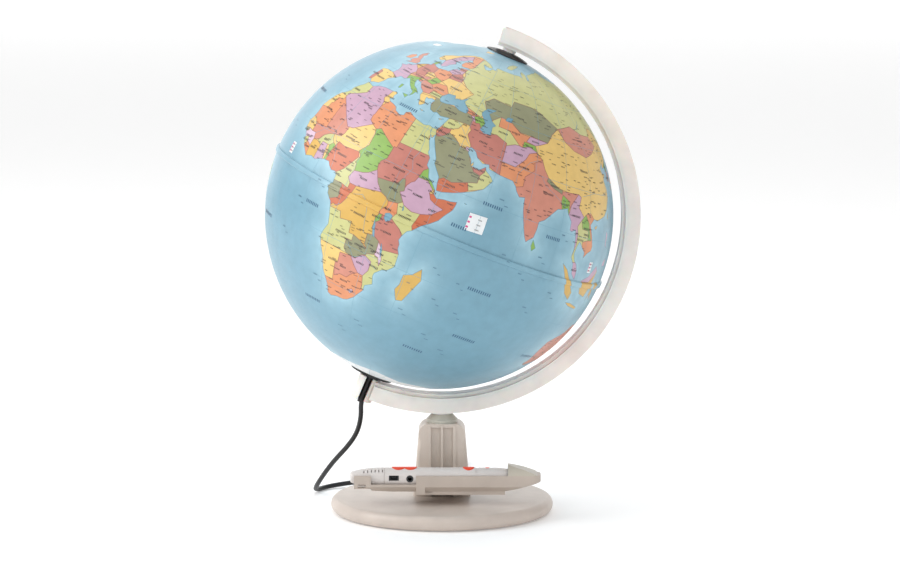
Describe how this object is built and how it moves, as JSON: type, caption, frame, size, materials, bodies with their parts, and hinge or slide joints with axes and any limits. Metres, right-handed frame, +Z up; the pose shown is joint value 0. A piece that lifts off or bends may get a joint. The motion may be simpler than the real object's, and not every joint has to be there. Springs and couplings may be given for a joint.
{
  "type": "desktop globe",
  "caption": "Lit desktop globe on a tilted axis in a half-ring arm, on a ribbed column and round foot, with a talking pen in a tray and a mains lead",
  "frame": {"origin": "middle of the underside of the foot pad, on the table", "axes": "+Z up, +X towards the side that the north pole leans to, +Y away from the pen tray"},
  "size_m": [0.3231, 0.3987, 0.4219],
  "materials": {
    "printed_ball": "satin",
    "black_plastic": "matte",
    "seam_plastic": "satin",
    "nylon": "matte",
    "frosted_plastic": "satin",
    "steel": "brushed",
    "nickel": "polished",
    "brass": "satin",
    "glass": "clear",
    "lamp_parts": "gloss",
    "beige_plastic": "satin",
    "grey_plastic": "satin",
    "foam": "matte",
    "white_plastic": "satin",
    "orange_plastic": "satin",
    "dark_plastic": "matte",
    "cord_rubber": "satin",
    "strap": "matte"
  },
  "bodies": {
    "stand": {"lamp_stem": "black_plastic", "switch_lower": "black_plastic", "switch_upper": "black_plastic", "plug_body": "black_plastic", "lamp_holder": "nylon", "meridian_arm": "frosted_plastic", "arm_front_wall": "frosted_plastic", "arm_back_wall": "frosted_plastic", "north_pivot_pin": "steel", "tie_bolt": "steel", "tie_washer": "steel", "foot_screws": "steel", "tray_screws": "steel", "foot_ballast": "steel", "switch_pivot": "steel", "plug_pins": "nickel", "bulb_cap": "nickel", "arm_insert": "brass", "lamp_contact": "brass", "bulb_glass": "glass", "bulb_filaments": "lamp_parts", "column_shell": "beige_plastic", "foot_shell": "beige_plastic", "foot_plate": "beige_plastic", "pen_tray": "beige_plastic", "column_collar": "grey_plastic", "tray_hood": "grey_plastic", "foot_pad": "foam", "mains_cord": "cord_rubber", "cord_link": "cord_rubber", "cord_tail": "cord_rubber", "cord_coil": "cord_rubber", "cord_strain_relief": "cord_rubber", "plug_relief": "cord_rubber", "lamp_leads": "cord_rubber", "coil_ties": "strap"},
    "globe": {"north_hemisphere": "printed_ball", "south_hemisphere": "printed_ball", "equator_ring": "seam_plastic", "north_cap": "black_plastic", "north_bush": "nylon", "south_cap": "black_plastic", "south_bush": "nylon"},
    "pen": {"pen_tip": "black_plastic", "pen_usb_socket": "nickel", "pen_battery": "nickel", "pen_camera": "glass", "pen_casing": "white_plastic", "pen_battery_door": "white_plastic", "pen_tail_cap": "white_plastic", "pen_nose": "white_plastic", "pen_trim": "white_plastic", "pen_light": "orange_plastic", "pen_jack": "dark_plastic", "pen_speaker": "dark_plastic", "pen_board": "dark_plastic"},
    "rocker_body": {"volume_rocker": "orange_plastic"},
    "button_body": {"power_button": "orange_plastic"},
    "switch_rocker_body": {"switch_rocker": "black_plastic"}
  },
  "joints": [
    {"name": "globe_spin", "type": "hinge", "parent": "stand", "child": "globe", "pos_m": [-0.0023, 0, 0.2594], "axis": [0.3907, 0, 0.9205], "continuous": true},
    {"name": "pen_slide_out", "type": "slide", "parent": "stand", "child": "pen", "axis": [-1, 0, 0], "range_m": [0, 0.12]},
    {"name": "volume_rock", "type": "hinge", "parent": "pen", "child": "rocker_body", "pos_m": [-0.032, -0.046, 0.0457], "axis": [0, 1, 0], "range_deg": [-3, 3], "stiffness_Nm_per_rad": 0.5},
    {"name": "power_press", "type": "slide", "parent": "pen", "child": "button_body", "axis": [0, 0, -1], "range_m": [0, 0.0006], "stiffness_N_per_m": 300},
    {"name": "switch_rock", "type": "hinge", "parent": "stand", "child": "switch_rocker_body", "pos_m": [-0.052, 0.1055, 0.011], "axis": [0, 1, 0], "range_deg": [-14, 0]}
  ]
}
